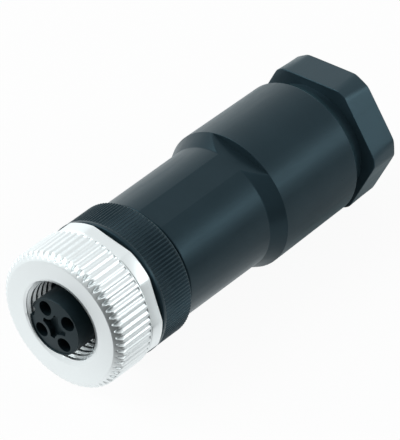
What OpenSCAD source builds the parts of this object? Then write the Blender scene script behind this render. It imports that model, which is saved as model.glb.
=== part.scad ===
// M12 circular connector, female, field-wired, with screw terminals and a cable gland.
// The axis lies along X, with the mating end towards -X, and +Z is up.
// The origin is on the axis, inside the mouth of the coupling thread.
// Angles round the axis are counted from +Z towards -Y.

/* [Overall] */
// Diameter over the ring's ribs and the sleeve's shoulder
body_d = 20.1; // [19.6:0.1:22]
// How much smaller the collar's front land is
collar_step = 0.45; // [0.1:0.05:0.6]
// How much smaller the nut is across its flats
nut_step = 1.2; // [0.4:0.1:1.6]
// How much smaller the sleeve's rear end is
barrel_taper = 0.4; // [0.1:0.1:0.8]

/* [Coupling ring] */
// Length of the ring
ring_len = 8.5; // [8:0.1:11]
// Height of the sloping nose, from the edge of the flat front face out to the ribs
ring_nose_h = 1.15; // [0.8:0.05:1.6]
// Length of the nose
ring_nose_len = 1.5; // [0.8:0.1:1.8]
// Number of grip flutes
flute_count = 60; // [36:6:72]
// Depth of a flute
flute_depth = 0.5; // [0.2:0.05:0.7]
// Width of a flute at its floor
flute_floor_w = 0.3; // [0.2:0.05:0.45]
// Width of a flute at its mouth
flute_mouth_w = 0.55; // [0.45:0.05:0.7]
// Length of the hexagonal band behind the flutes
band_len = 2.2; // [1.8:0.1:3.5]
// Depth of the band's flats below the ribs
band_flat_depth = 0.4; // [0.2:0.05:0.45]
// Height of the band's rounded corners above the ribs
band_corner_h = 0.1; // [0:0.05:0.4]
// Angle of the first flat of the band
band_angle = 10; // [0:1:59]

/* [Coupling thread] */
// Minor diameter of the coupling thread
thread_minor_d = 10.92; // [10.8:0.01:11.1]
// Distance from the ring's front face to the origin
mouth_depth = 1; // [0.8:0.1:1.5]
// Diameter of the mouth's chamfer at the front face
mouth_d = 12.7; // [12:0.1:13]
// Length of the mouth's chamfer
mouth_chamfer = 0.75; // [0.4:0.05:0.8]
// Depth of the thread's end below the front face
thread_depth = 5.6; // [5:0.1:6]

/* [Ring bearing] */
// Height of the centring flange above the thread's minor diameter
flange_step = 0.64; // [0.4:0.02:0.8]
// Thickness of the flange
flange_len = 0.9; // [0.7:0.1:1.2]
// Travel of the ring towards the cable
float_back = 0.3; // [0.2:0.05:0.5]
// Travel of the ring towards the mating end
float_front = 0.2; // [0.1:0.05:0.3]
// Thickness of the retaining ring
clip_len = 0.6; // [0.4:0.05:0.7]
// Depth of the retaining ring's groove in the coupling ring
clip_groove = 0.5; // [0.3:0.05:0.7]
// Gap in the retaining ring
clip_gap = 3; // [2:0.5:5]
// Angle of the gap in the retaining ring
clip_angle = 200; // [0:5:355]

/* [Contact insert] */
// Gap between nose and thread, for the mating shell
shell_gap = 1.31; // [1.2:0.01:1.5]
// Reach of the nose beyond the ring's front face
nose_reach = 1.35; // [0.5:0.05:2.5]
// Chamfer round the nose's rim
nose_chamfer = 0.2; // [0.1:0.05:0.3]
// Angle of the coding keyway
key_angle = 280; // [0:1:359]
// Width of the coding keyway
key_w = 1.4; // [1:0.1:1.6]
// Depth of the coding keyway
key_depth = 0.65; // [0.5:0.05:0.8]
// Height of the flange above the insert's neck
neck_step = 1.1; // [0.9:0.05:1.4]
// Depth of the recess between the contact holes
star_depth = 1; // [0.5:0.1:1.5]
// Wall that the recess leaves round each contact hole
star_wall = 0.5; // [0.4:0.05:0.6]
// Gap between the face seal and the coupling thread
face_seal_gap = 0.38; // [0.3:0.02:0.6]

/* [Contacts] */
// Diameter of the circle through the contacts
contact_pcd = 5.4; // [5:0.1:5.6]
// Angle of the first contact
contact_angle = 55; // [0:1:89]
// Diameter of the contact holes in the face
contact_hole_d = 2.1; // [1.8:0.05:2.15]
// Outer diameter of a contact socket
socket_d = 1.7; // [1.5:0.05:1.75]
// Inner diameter of a contact socket
socket_bore_d = 1.04; // [1.02:0.01:1.1]
// Length of a contact socket
socket_len = 6.5; // [5:0.1:7]
// Depth of the socket's mouth below the insert's face
socket_depth = 3; // [2:0.1:3.5]
// Width of the slit in the socket
slit_w = 0.25; // [0.15:0.05:0.35]
// Diameter of the contact's shank
shank_d = 0.8; // [0.6:0.05:0.9]

/* [Knurled collar] */
// Height of the front land above the knurl
land_h = 0.05; // [0.05:0.05:0.3]
// Number of knurl teeth
knurl_count = 120; // [60:6:150]
// Depth of the knurl
knurl_depth = 0.22; // [0.1:0.02:0.3]
// Length of the collar
collar_len = 6.2; // [5.5:0.1:8]
// Length of the front land
land_len = 1; // [0.5:0.1:2]
// Length of the chamfer at the collar's rear edge
collar_chamfer = 0.6; // [0.2:0.1:1]
// Thickness of the collar's front wall
collar_wall = 3.3; // [2.5:0.1:4]
// Length of the threaded spigot behind the collar
spigot_len = 5.9; // [5:0.1:7]
// Wall of the collar's spigot, round the terminal carrier
spigot_wall = 0.6; // [0.4:0.05:0.8]

/* [Terminals] */
// Diameter of the terminal carrier
carrier_d = 13.7; // [13.3:0.1:13.8]
// Length of the carrier in front of the terminal blocks
carrier_front_len = 9.6; // [9:0.1:11]
// Thickness of the carrier's rear wall
carrier_wall = 1.6; // [1.2:0.1:2]
// Length of a terminal block
block_len = 4.7; // [4:0.1:5]
// Width of a terminal block
block_w = 2.8; // [2.7:0.05:2.9]
// Distance from the axis to a block's inner face
block_r = 1.9; // [1.85:0.01:1.95]
// Height of a terminal block
block_h = 4.2; // [4:0.05:4.3]
// Width of the wire opening in a block
window_w = 2; // [1.95:0.01:2.1]
// Height of the wire opening in a block
window_h = 1.8; // [1.7:0.05:1.85]
// Thickness of the block's wall under the screw
block_top = 1; // [0.8:0.05:1]
// Diameter of the wire entry in the carrier's rear wall
wire_hole_d = 2; // [1.6:0.1:2.1]
// Diameter of a terminal screw
screw_d = 1.9; // [1.6:0.05:1.92]
// Length of a terminal screw
screw_len = 1.95; // [1.6:0.05:2]
// Thickness of a clamping plate
plate_t = 0.35; // [0.25:0.05:0.4]
// Length of a clamping plate
plate_len = 3.6; // [3:0.1:4]

/* [Cable sleeve] */
// Wall of the sleeve outside its seal
sleeve_wall = 0.6; // [0.4:0.05:0.8]
// Length of the sleeve
sleeve_len = 33.25; // [32:0.05:38]
// Distance from the front end to the shoulder's cone
shoulder_at = 16.15; // [15:0.05:18]
// Length of the shoulder's cone
shoulder_len = 2.3; // [1.5:0.1:3]
// Depth of the flat below the sleeve's front
flat_depth = 0.15; // [0.05:0.05:0.3]
// Angle of the marking flat
flat_angle = 13; // [0:1:359]
// How much narrower the wiring chamber is than the joint's thread
chamber_step = 0.2; // [0.1:0.05:0.4]
// Radial thickness of the sleeve's seal
sleeve_seal_w = 0.75; // [0.6:0.05:0.8]
// Length of the sleeve's seal
sleeve_seal_len = 1.1; // [0.8:0.1:1.3]
// Gap between collar and sleeve
joint_gap = 0.25; // [0.15:0.05:0.4]

/* [Cable gland] */
// Diameter of the gland thread
gland_thread_d = 16; // [15.6:0.1:16.4]
// Depth of the gland's bore in the sleeve
gland_depth = 12.8; // [12.5:0.1:14]
// Thickness of the web that the clamping cage rests on
web_len = 1.2; // [0.8:0.1:2]
// Bore of the web
web_bore_d = 10; // [9:0.1:10.5]
// Length of the clamping cage's base ring
cage_base_len = 1.8; // [1.2:0.1:2.2]
// Length of the cage's fingers
finger_len = 7; // [6:0.1:7.2]
// Outer diameter of the fingers
finger_d = 12.4; // [11.8:0.1:13]
// Length of the fingers' tapered tips
finger_tip_len = 2.5; // [1.5:0.1:3]
// Thickness of the fingers at their ends
finger_tip_t = 0.33; // [0.25:0.01:0.5]
// Number of the cage's fingers
finger_count = 8; // [6:1:10]
// Width of the slots between fingers
finger_slot_w = 1; // [0.6:0.1:1.4]
// Inner diameter of the cage
cage_bore_d = 10; // [9.8:0.1:10.2]
// Inner diameter of the grommet, for the cable
grommet_bore_d = 6.4; // [5:0.1:7]
// Length of the grommet
grommet_len = 8; // [7:0.1:8.3]

/* [Pressing nut] */
// How much wider the hexagon is across its bevelled corners than across its flats
nut_corner_extra = 1.9; // [1.2:0.02:2.4]
// Slope of the bevelled corners towards the rear, in degrees
nut_bevel_slope = 4; // [0:0.5:6]
// Angle of the first flat of the hexagon
nut_angle = -4; // [-30:1:30]
// Thickness of the hexagon
nut_len = 4.7; // [3.5:0.1:5.5]
// Depth of the round collar in front of the hexagon below the flats
nut_collar_step = 0.4; // [0.3:0.1:1]
// Depth of the neck behind the collar, in front of the hexagon, below the flats
nut_neck_step = 1.2; // [1:0.1:1.4]
// Length of the round collar
nut_collar_len = 2.4; // [1.2:0.05:2.8]
// Gap between the sleeve and the nut's collar
nut_gap = 0.45; // [0.3:0.05:0.6]
// Gap between the fingers and the nut's cone
cone_gap = 0.2; // [0.1:0.05:0.3]
// Length of the nut's cone
cone_len = 4; // [3.5:0.1:5]
// Length of the threaded shank
nut_shank_len = 9.75; // [9.2:0.05:10]
// Diameter of the nut's cable entry
cable_entry_d = 8.6; // [8:0.1:9]
// Width of the chamfers on the hexagon's edges
nut_chamfer = 0.15; // [0.1:0.05:0.5]

/* [Fits] */
// Radial clearance of parts that turn or slide in each other
run_fit = 0.05; // [0.03:0.01:0.1]
// Clearance of parts that sit in a pocket
seat_fit = 0.03; // [0.02:0.01:0.05]
// Gap that is left where a moving part comes to its stop
stop_gap = 0.1; // [0.05:0.05:0.2]

/* [Hidden] */
$fn = 96;
past = 1;                 // how far a cutter runs past the face that it cuts
edge = 0.15;              // break on plain edges

black_plastic = [0.17, 0.21, 0.24];
nickel = [0.86, 0.88, 0.89];
gold = [0.83, 0.66, 0.30];
rubber = [0.08, 0.08, 0.09];

// Stations along X, from the mating end to the cable end
ring_front = -mouth_depth;
ring_rear = ring_front + ring_len;
band_front = ring_rear - band_len;
thread_end = ring_front + thread_depth;
nose_front = ring_front - nose_reach;
flange_front = thread_end + float_back + 3 * stop_gap;
flange_rear = flange_front + flange_len;
clip_front = flange_rear + float_front + run_fit;
clip_rear = clip_front + clip_len;
collar_front = ring_rear + float_back + stop_gap;
collar_rear = collar_front + collar_len;
cavity_front = collar_front + collar_wall;
spigot_rear = collar_rear + spigot_len;
socket_front = nose_front + socket_depth;
socket_rear = socket_front + socket_len;
carrier_front = cavity_front + run_fit;
block_front = carrier_front + carrier_front_len;
block_rear = block_front + block_len;
carrier_rear = block_rear + carrier_wall;
screw_x = (block_front + block_rear) / 2;
sleeve_front = collar_rear + joint_gap;
shoulder_front = sleeve_front + shoulder_at;
shoulder_rear = shoulder_front + shoulder_len;
sleeve_rear = sleeve_front + sleeve_len;
web_rear = sleeve_rear - gland_depth;
web_front = web_rear - web_len;
cage_front = web_rear + 2 * stop_gap;
finger_front = cage_front + cage_base_len;
finger_rear = finger_front + finger_len;
nut_collar_front = sleeve_rear + nut_gap;
nut_front = nut_collar_front - nut_shank_len;
hex_front = nut_collar_front + nut_collar_len;
hex_rear = hex_front + nut_len;

// Diameters that follow the overall one
ring_d = body_d;
ring_face_d = ring_d - 2 * ring_nose_h;
band_flats = ring_d - 2 * band_flat_depth;
band_corners = ring_d + 2 * band_corner_h;
collar_d = body_d - collar_step;
knurl_d = collar_d - 2 * land_h;
barrel_d = body_d;
barrel_rear_d = barrel_d - barrel_taper;
nut_flats = body_d - nut_step;
nut_corners = nut_flats + nut_corner_extra;
nut_collar_d = nut_flats - 2 * nut_collar_step;
nut_neck_d = nut_flats - 2 * nut_neck_step;

// Radii that several pieces share
nose_d = thread_minor_d - 2 * shell_gap;
flange_d = thread_minor_d + 2 * flange_step;
neck_d = flange_d - 2 * neck_step;
face_seal_cord = shell_gap - seat_fit - face_seal_gap;
relief_r = flange_d / 2 + run_fit;
spigot_bore_r = carrier_d / 2 + run_fit;
joint_r = spigot_bore_r + spigot_wall;
chamber_d = 2 * joint_r - chamber_step;
seal_r = joint_r + run_fit + sleeve_seal_w + run_fit;
sleeve_d = 2 * (seal_r + sleeve_wall);
flat_r = sleeve_d / 2 - flat_depth;
gland_r = gland_thread_d / 2;
block_top_r = block_r + block_h;
window_top_r = block_top_r - block_top;
window_floor_r = window_top_r - window_h;

// The fingers' taper, which the nut's cone repeats at its own gap
finger_tip_front = finger_rear - finger_tip_len;
finger_tip_r = cage_bore_d / 2 + finger_tip_t;
cone_rear = finger_tip_front + cone_len;
cone_wide_r = finger_d / 2 + cone_gap;
cone_narrow_r = cone_wide_r - (finger_d / 2 - finger_tip_r) * cone_len / finger_tip_len;

// Turns local z to +X, so that a profile of [radius, station] is revolved about the axis
module along_x() { rotate([0, 90, 0]) children(); }

// Turns local x to the outward direction at an angle round the axis, with local z along +X
module at_angle(a) { along_x() rotate([0, 0, 180 + a]) children(); }

// Revolves a closed outline of [radius, station] points about the axis
module turned(outline) { along_x() rotate_extrude() polygon(outline); }

// A plain round hole along the axis direction, at a radius and angle
module hole_at(a, r, d, from, to) {
    at_angle(a) translate([r, 0, from]) cylinder(d = d, h = to - from);
}

// Points of a curve that leaves the front face's edge at a slope and flattens out at the full diameter
function nose_curve(r0, r1, x0, len) =
    [for (i = [0 : 6]) [r1 - (r1 - r0) * pow(1 - i / 6, 1.45), x0 + len * i / 6]];

// Hexagonal prism with one flat facing the local x direction
module hexagon(flats, h) { rotate([0, 0, 30]) cylinder(d = flats / cos(30), h = h, $fn = 6); }

module ring_blank() {
    hub_r = band_flats / 2 - 2 * edge;
    turned(concat(
        [[thread_minor_d / 2 - past, ring_front]],
        nose_curve(ring_face_d / 2, ring_d / 2, ring_front, ring_nose_len),
        [[ring_d / 2, band_front], [hub_r, band_front], [hub_r, band_front + 2 * edge],
         [thread_minor_d / 2 - past, band_front + 2 * edge]]));
    at_angle(band_angle) translate([0, 0, band_front]) intersection() {
        hexagon(band_flats, band_len);
        rotate_extrude() polygon([[0, -past], [band_corners / 2, -past], [band_corners / 2, band_len - 2 * edge],
                                  [band_corners / 2 - 2 * edge, band_len], [0, band_len]]);
    }
}

module flute_cutters() {
    floor_r = ring_d / 2 - flute_depth;
    for (i = [0 : flute_count - 1])
        at_angle(360 * i / flute_count) translate([0, 0, ring_front - past])
            linear_extrude(band_front - ring_front + past - edge)
                polygon([[floor_r, -flute_floor_w / 2], [floor_r, flute_floor_w / 2],
                         [ring_d / 2 + past, flute_mouth_w], [ring_d / 2 + past, -flute_mouth_w]]);
}

module ring_bore() {
    clip_r = relief_r + clip_groove;
    turned([[0, ring_front - past], [mouth_d / 2, ring_front - past], [mouth_d / 2, ring_front],
            [thread_minor_d / 2, ring_front + mouth_chamfer], [thread_minor_d / 2, thread_end],
            [relief_r, thread_end], [relief_r, clip_front - seat_fit],
            [clip_r, clip_front - seat_fit], [clip_r, clip_rear + seat_fit],
            [relief_r, clip_rear + seat_fit], [relief_r, ring_rear + past], [0, ring_rear + past]]);
}

module coupling_ring() {
    color(nickel) difference() {
        ring_blank();
        flute_cutters();
        ring_bore();
    }
}

module retaining_ring() {
    color(nickel) difference() {
        turned([[neck_d / 2 + 3 * run_fit, clip_front], [relief_r + clip_groove - run_fit, clip_front],
                [relief_r + clip_groove - run_fit, clip_rear], [neck_d / 2 + 3 * run_fit, clip_rear]]);
        at_angle(clip_angle) translate([0, -clip_gap / 2, clip_front - past])
            cube([relief_r + past, clip_gap, clip_len + 2 * past]);
    }
}

// Recess between the contact holes, a round pocket less a wall round each hole
module star_recess() {
    difference() {
        turned([[0, nose_front - past], [(contact_pcd - contact_hole_d) / 2 + star_wall / 2, nose_front - past],
                [(contact_pcd - contact_hole_d) / 2 + star_wall / 2, nose_front + star_depth],
                [0, nose_front + star_depth]]);
        for (i = [1 : 4])
            hole_at(contact_angle + 90 * (i - 1), contact_pcd / 2, contact_hole_d + 2 * star_wall,
                    nose_front - 2 * past, nose_front + star_depth + past);
    }
}

module contact_insert() {
    nose_r = nose_d / 2;
    color(black_plastic) difference() {
        turned([[0, nose_front], [nose_r - nose_chamfer, nose_front], [nose_r, nose_front + nose_chamfer],
                [nose_r, cavity_front], [0, cavity_front]]);
        at_angle(key_angle) translate([nose_r - key_depth, -key_w / 2, nose_front - past])
            cube([key_depth + past, key_w, flange_front - nose_front - face_seal_cord + past]);
        star_recess();
        for (i = [1 : 4]) {
            a = contact_angle + 90 * (i - 1);
            hole_at(a, contact_pcd / 2, contact_hole_d, nose_front - past, socket_front - 2 * seat_fit);
            hole_at(a, contact_pcd / 2, socket_d + 2 * seat_fit, socket_front - past, socket_rear);
            hole_at(a, contact_pcd / 2, shank_d + 2 * seat_fit, socket_rear - past, cavity_front + past);
        }
    }
}

module flange_bush() {
    bore_r = nose_d / 2 + seat_fit;
    color(black_plastic) difference() {
        turned([[0, flange_front], [flange_d / 2, flange_front], [flange_d / 2, flange_rear],
                [neck_d / 2, flange_rear], [neck_d / 2, cavity_front], [0, cavity_front]]);
        turned([[0, flange_front - past], [bore_r, flange_front - past],
                [bore_r, cavity_front + past], [0, cavity_front + past]]);
    }
}

module face_seal() {
    mid_r = nose_d / 2 + seat_fit + face_seal_cord / 2;
    color(rubber) along_x() translate([0, 0, flange_front - face_seal_cord / 2])
        rotate_extrude() translate([mid_r, 0]) circle(d = face_seal_cord, $fn = 24);
}

module knurl_outline() {
    crest = knurl_d / 2;
    root = crest - knurl_depth;
    polygon([for (i = [0 : 2 * knurl_count - 1])
        let (a = 180 * i / knurl_count, r = i % 2 == 0 ? crest : root) [r * cos(a), r * sin(a)]]);
}

module knurled_collar() {
    root = knurl_d / 2 - knurl_depth;
    knurl_front = collar_front + land_len;
    knurl_rear = collar_rear - collar_chamfer;
    color(black_plastic) difference() {
        union() {
            turned([[0, collar_front], [collar_d / 2 - edge, collar_front], [collar_d / 2, collar_front + edge],
                    [collar_d / 2, knurl_front], [0, knurl_front]]);
            along_x() translate([0, 0, knurl_front]) linear_extrude(knurl_rear - knurl_front) knurl_outline();
            turned([[0, knurl_rear], [root - run_fit, knurl_rear], [root - collar_chamfer, collar_rear],
                    [joint_r, collar_rear], [joint_r, spigot_rear - edge], [joint_r - edge, spigot_rear],
                    [0, spigot_rear]]);
        }
        turned([[0, collar_front - past], [neck_d / 2 + seat_fit, collar_front - past],
                [neck_d / 2 + seat_fit, cavity_front], [spigot_bore_r, cavity_front],
                [spigot_bore_r, spigot_rear + past], [0, spigot_rear + past]]);
    }
}

module terminal_carrier() {
    pocket_w = block_w + 2 * run_fit;
    wire_r = window_floor_r + window_h / 2;
    color(black_plastic) difference() {
        turned([[0, carrier_front], [carrier_d / 2, carrier_front], [carrier_d / 2, carrier_rear - edge],
                [carrier_d / 2 - edge, carrier_rear], [0, carrier_rear]]);
        for (i = [1 : 4]) {
            a = contact_angle + 90 * (i - 1);
            hole_at(a, contact_pcd / 2, shank_d + 2 * seat_fit, carrier_front - past, block_front + past / 2);
            at_angle(a) translate([block_r - run_fit, -pocket_w / 2, block_front - run_fit])
                cube([carrier_d, pocket_w, block_len + 2 * run_fit]);
            at_angle(a) translate([wire_r, 0, block_rear - past])
                cylinder(d = wire_hole_d, h = carrier_wall + 2 * past);
        }
    }
}

module contact(i) {
    color(gold) at_angle(contact_angle + 90 * (i - 1)) translate([contact_pcd / 2, 0, 0]) difference() {
        union() {
            translate([0, 0, socket_front]) cylinder(d = socket_d, h = socket_len - seat_fit);
            translate([0, 0, socket_rear - past]) cylinder(d = shank_d, h = screw_x - socket_rear + past);
        }
        translate([0, 0, socket_front - past]) cylinder(d = socket_bore_d, h = socket_len - past / 2);
        translate([-socket_d, -slit_w / 2, socket_front - past]) cube([2 * socket_d, slit_w, socket_len / 2 + past]);
    }
}

module terminal_block(i) {
    color(nickel) at_angle(contact_angle + 90 * (i - 1)) difference() {
        translate([block_r, -block_w / 2, block_front]) cube([block_h, block_w, block_len]);
        translate([window_floor_r, -window_w / 2, block_front - past])
            cube([window_h, window_w, block_len + 2 * past]);
        translate([contact_pcd / 2, 0, block_front - past])
            cylinder(d = shank_d + 2 * seat_fit, h = block_len / 2 + past + seat_fit);
        translate([window_top_r - past / 2, 0, screw_x]) rotate([0, 90, 0])
            cylinder(d = screw_d + 2 * run_fit, h = block_top + past);
    }
}

module clamp_plate(i) {
    plate_w = window_w - 4 * run_fit;
    plate_top_r = window_top_r - 0.15;
    color(nickel) at_angle(contact_angle + 90 * (i - 1))
        translate([plate_top_r - plate_t, -plate_w / 2, screw_x - plate_len / 2])
            cube([plate_t, plate_w, plate_len]);
}

module terminal_screw(i) {
    plate_top_r = window_top_r - 0.15;
    color(nickel) at_angle(contact_angle + 90 * (i - 1)) translate([plate_top_r + seat_fit, 0, screw_x])
        rotate([0, 90, 0]) difference() {
            union() {
                cylinder(d1 = screw_d - 2 * edge, d2 = screw_d, h = edge);
                translate([0, 0, edge]) cylinder(d = screw_d, h = screw_len - edge);
            }
            translate([-screw_d, -slit_w, screw_len * 0.6]) cube([2 * screw_d, 2 * slit_w, screw_len]);
        }
}

module sleeve_seal() {
    inner = joint_r + run_fit;
    color(rubber) turned([[inner, sleeve_front + edge], [inner + sleeve_seal_w, sleeve_front + edge],
                          [inner + sleeve_seal_w, sleeve_front + edge + sleeve_seal_len],
                          [inner, sleeve_front + edge + sleeve_seal_len]]);
}

module cable_sleeve() {
    color(black_plastic) difference() {
        turned([[0, sleeve_front], [sleeve_d / 2 - edge, sleeve_front], [sleeve_d / 2, sleeve_front + edge],
                [sleeve_d / 2, shoulder_front], [barrel_d / 2, shoulder_rear],
                [barrel_rear_d / 2, sleeve_rear - 2 * edge], [barrel_rear_d / 2 - 2 * edge, sleeve_rear],
                [0, sleeve_rear]]);
        turned([[0, sleeve_front - past], [seal_r, sleeve_front - past],
                [seal_r, sleeve_front + sleeve_seal_len + 2 * edge], [joint_r + run_fit, sleeve_front + sleeve_seal_len + 2 * edge],
                [joint_r + run_fit, spigot_rear + past], [chamber_d / 2, spigot_rear + past],
                [chamber_d / 2, web_front], [web_bore_d / 2, web_front], [web_bore_d / 2, web_rear],
                [gland_r + run_fit, web_rear], [gland_r + run_fit, sleeve_rear + past], [0, sleeve_rear + past]]);
        at_angle(flat_angle) translate([flat_r, -barrel_d / 2, sleeve_front - past])
            cube([barrel_d, barrel_d, shoulder_rear - sleeve_front + past]);
    }
}

module clamping_cage() {
    inner = cage_bore_d / 2;
    color(black_plastic) difference() {
        turned([[inner, cage_front], [gland_r - run_fit, cage_front], [gland_r - run_fit, finger_front],
                [finger_d / 2, finger_front], [finger_d / 2, finger_tip_front],
                [finger_tip_r, finger_rear], [inner, finger_rear]]);
        for (k = [0 : finger_count - 1])
            at_angle(360 * (k + 0.5) / finger_count) translate([0, -finger_slot_w / 2, finger_front])
                cube([gland_r + past, finger_slot_w, finger_len + past]);
    }
}

module cable_grommet() {
    color(rubber) turned([[grommet_bore_d / 2, cage_front + edge], [cage_bore_d / 2 - seat_fit, cage_front + edge],
                          [cage_bore_d / 2 - seat_fit, cage_front + edge + grommet_len],
                          [grommet_bore_d / 2, cage_front + edge + grommet_len]]);
}

// Takes off what lies outside six planes round the axis, which lean towards the front or the rear
module trim_sides(r, z, first, lean) {
    for (k = [0 : 5])
        rotate([0, 0, 60 * k + first]) translate([r, 0, z]) rotate([0, lean, 0])
            translate([0, -nut_flats / 2, -nut_len]) cube([nut_flats, nut_flats, 2 * nut_len]);
}

module nut_hexagon() {
    difference() {
        hexagon(nut_flats, nut_len);
        trim_sides(nut_corners / 2, nut_len / 2, 30, -nut_bevel_slope);
        trim_sides(nut_flats / 2 - nut_chamfer, 0, 0, 45);
        trim_sides(nut_flats / 2 - nut_chamfer, nut_len, 0, -45);
    }
}

module pressing_nut() {
    color(black_plastic) difference() {
        union() {
            at_angle(nut_angle) translate([0, 0, hex_front]) nut_hexagon();
            turned([[0, nut_front], [gland_r - 2 * edge, nut_front], [gland_r, nut_front + 2 * edge],
                    [gland_r, nut_collar_front], [nut_collar_d / 2 - edge, nut_collar_front],
                    [nut_collar_d / 2, nut_collar_front + edge],
                    [nut_neck_d / 2, (nut_collar_front + hex_front) / 2], [nut_neck_d / 2, hex_front + past],
                    [0, hex_front + past]]);
        }
        turned([[0, nut_front - past], [cone_wide_r, nut_front - past], [cone_wide_r, finger_tip_front],
                [cone_narrow_r, cone_rear], [cable_entry_d / 2, cone_rear],
                [cable_entry_d / 2, hex_rear - 2 * edge], [cable_entry_d / 2 + 2 * edge, hex_rear],
                [cable_entry_d / 2 + 2 * edge, hex_rear + past], [0, hex_rear + past]]);
    }
}

coupling_ring();
retaining_ring();
contact_insert();
flange_bush();
face_seal();
knurled_collar();
terminal_carrier();
contact(1);  // contact_1
contact(2);  // contact_2
contact(3);  // contact_3
contact(4);  // contact_4
terminal_block(1);  // terminal_block_1
terminal_block(2);  // terminal_block_2
terminal_block(3);  // terminal_block_3
terminal_block(4);  // terminal_block_4
clamp_plate(1);  // clamp_plate_1
clamp_plate(2);  // clamp_plate_2
clamp_plate(3);  // clamp_plate_3
clamp_plate(4);  // clamp_plate_4
terminal_screw(1);  // terminal_screw_1
terminal_screw(2);  // terminal_screw_2
terminal_screw(3);  // terminal_screw_3
terminal_screw(4);  // terminal_screw_4
sleeve_seal();
cable_sleeve();
clamping_cage();
cable_grommet();
pressing_nut();
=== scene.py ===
"""Looks of a female M12 cable connector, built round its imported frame.

The connector's axis is X, with the mating end towards -X. A station is a place along the axis.
An angle round the axis is counted from +Z towards -Y, so that a point at radius r and angle t
lies at (x, -r sin t, r cos t). Shapes are worked out in millimetres and put into the meshes in
metres.
"""
import math
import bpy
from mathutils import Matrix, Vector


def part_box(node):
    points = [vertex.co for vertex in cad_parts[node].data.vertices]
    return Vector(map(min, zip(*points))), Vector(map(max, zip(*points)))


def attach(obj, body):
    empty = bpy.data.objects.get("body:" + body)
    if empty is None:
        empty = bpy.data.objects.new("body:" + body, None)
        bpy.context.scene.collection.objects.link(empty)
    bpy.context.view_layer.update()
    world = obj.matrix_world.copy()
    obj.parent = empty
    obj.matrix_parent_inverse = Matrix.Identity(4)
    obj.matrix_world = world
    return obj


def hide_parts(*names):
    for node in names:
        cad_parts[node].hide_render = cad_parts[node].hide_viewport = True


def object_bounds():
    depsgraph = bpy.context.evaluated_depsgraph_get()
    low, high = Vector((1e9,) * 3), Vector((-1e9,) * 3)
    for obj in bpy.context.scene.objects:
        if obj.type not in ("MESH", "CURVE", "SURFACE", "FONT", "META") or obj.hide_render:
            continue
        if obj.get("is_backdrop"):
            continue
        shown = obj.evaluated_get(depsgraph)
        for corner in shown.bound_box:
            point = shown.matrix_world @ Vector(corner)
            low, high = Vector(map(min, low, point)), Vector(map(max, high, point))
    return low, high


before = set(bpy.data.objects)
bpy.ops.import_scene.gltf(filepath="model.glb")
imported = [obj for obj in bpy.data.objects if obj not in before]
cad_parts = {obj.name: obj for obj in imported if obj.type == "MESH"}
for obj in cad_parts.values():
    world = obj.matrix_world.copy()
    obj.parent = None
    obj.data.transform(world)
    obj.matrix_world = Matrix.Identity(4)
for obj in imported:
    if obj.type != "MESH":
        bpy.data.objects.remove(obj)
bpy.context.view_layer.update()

from types import SimpleNamespace

import bmesh
import bpy
import numpy as np
from mathutils import Matrix, Vector

bl_info = {
    "name": "M12 cable connector",
    "version": (1, 0, 0),
    "blender": (4, 5, 0),
    "location": "3D View > Sidebar > Connector",
    "description": "Detailed surfaces and finishes for a field-wired M12 cable connector",
    "category": "Object",
}

MM = 0.001
TURN = 2 * math.pi
THREAD_COLUMNS = 180
# In millimetres: the pitch of the threads on the spigot and on the nut's shank, the gap between a
# bore and the piece in it, and a radius outside every surface
REAR_PITCH, RUNNING_GAP, OUTSIDE = 1.0, 0.05, 99


# ---- where the frame puts things

def station(node, end):
    """The lowest (end 0) or highest (end 1) station of a node, in millimetres."""
    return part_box(node)[end][0] / MM


def half_height(node):
    """Half of a node's height, in millimetres."""
    low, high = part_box(node)
    return (high[2] - low[2]) / 2 / MM


# ---- sizes and colours

def length(text, value_mm):
    """A length property whose default is given in millimetres."""
    return bpy.props.FloatProperty(description=text, default=value_mm * MM, unit="LENGTH", precision=5)


def angle(text, degrees):
    """An angle property whose default is given in degrees."""
    return bpy.props.FloatProperty(description=text, default=math.radians(degrees),
                                   subtype="ANGLE", unit="ROTATION")


def factor(text, value):
    """A property between 0 and 1."""
    return bpy.props.FloatProperty(description=text, default=value, min=0, max=1, subtype="FACTOR")


def colour(text, rgb):
    """A colour property, in linear values."""
    return bpy.props.FloatVectorProperty(description=text, default=rgb, size=3, min=0, max=1,
                                         subtype="COLOR")


def group_values(group):
    """The names of the properties that a group declares."""
    return [key for key in group.bl_rna.properties.keys() if key not in ("rna_type", "name")]


def in_mm(group):
    """A group's values by name, with its lengths in millimetres."""
    kinds = group.bl_rna.properties
    return SimpleNamespace(**{
        key: getattr(group, key) / MM if kinds[key].unit == "LENGTH" else getattr(group, key)
        for key in group_values(group)})


class RingSizes(bpy.types.PropertyGroup):
    """Sizes of the coupling ring."""
    flutes: bpy.props.IntProperty(description="Grip flutes round the ring", default=60, min=12)
    flute_depth: length("Depth of a flute at the nose", 0.75)
    flute_loss: factor("Share of a flute's depth that is lost behind the nose", 0.75)
    nose_height: length("Height of the nose, from the face out to the ribs", 1.13)
    nose_length: length("Length of the nose along the axis", 1.0)
    band_length: length("Length of the hexagonal band behind the flutes", 2.2)
    band_flat: length("Depth of the band's flats below the ribs", 0.4)
    band_corner: length("Height of the band's corners above the ribs", 0.1)
    band_angle: angle("Angle of the band's first flat", 10)
    mouth_radius: length("Outer radius of the thread's chamfer", 6.35)
    pitch: length("Pitch of the coupling thread", 1.0)
    thread_major: length("Radius at the thread's roots", 6.0)
    thread_minor: length("Radius at the thread's crests", 5.57)
    thread_depth: length("Depth of the thread's end below the face", 5.6)
    groove_radius: length("Radius of the retaining ring's groove", 6.68)


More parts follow.
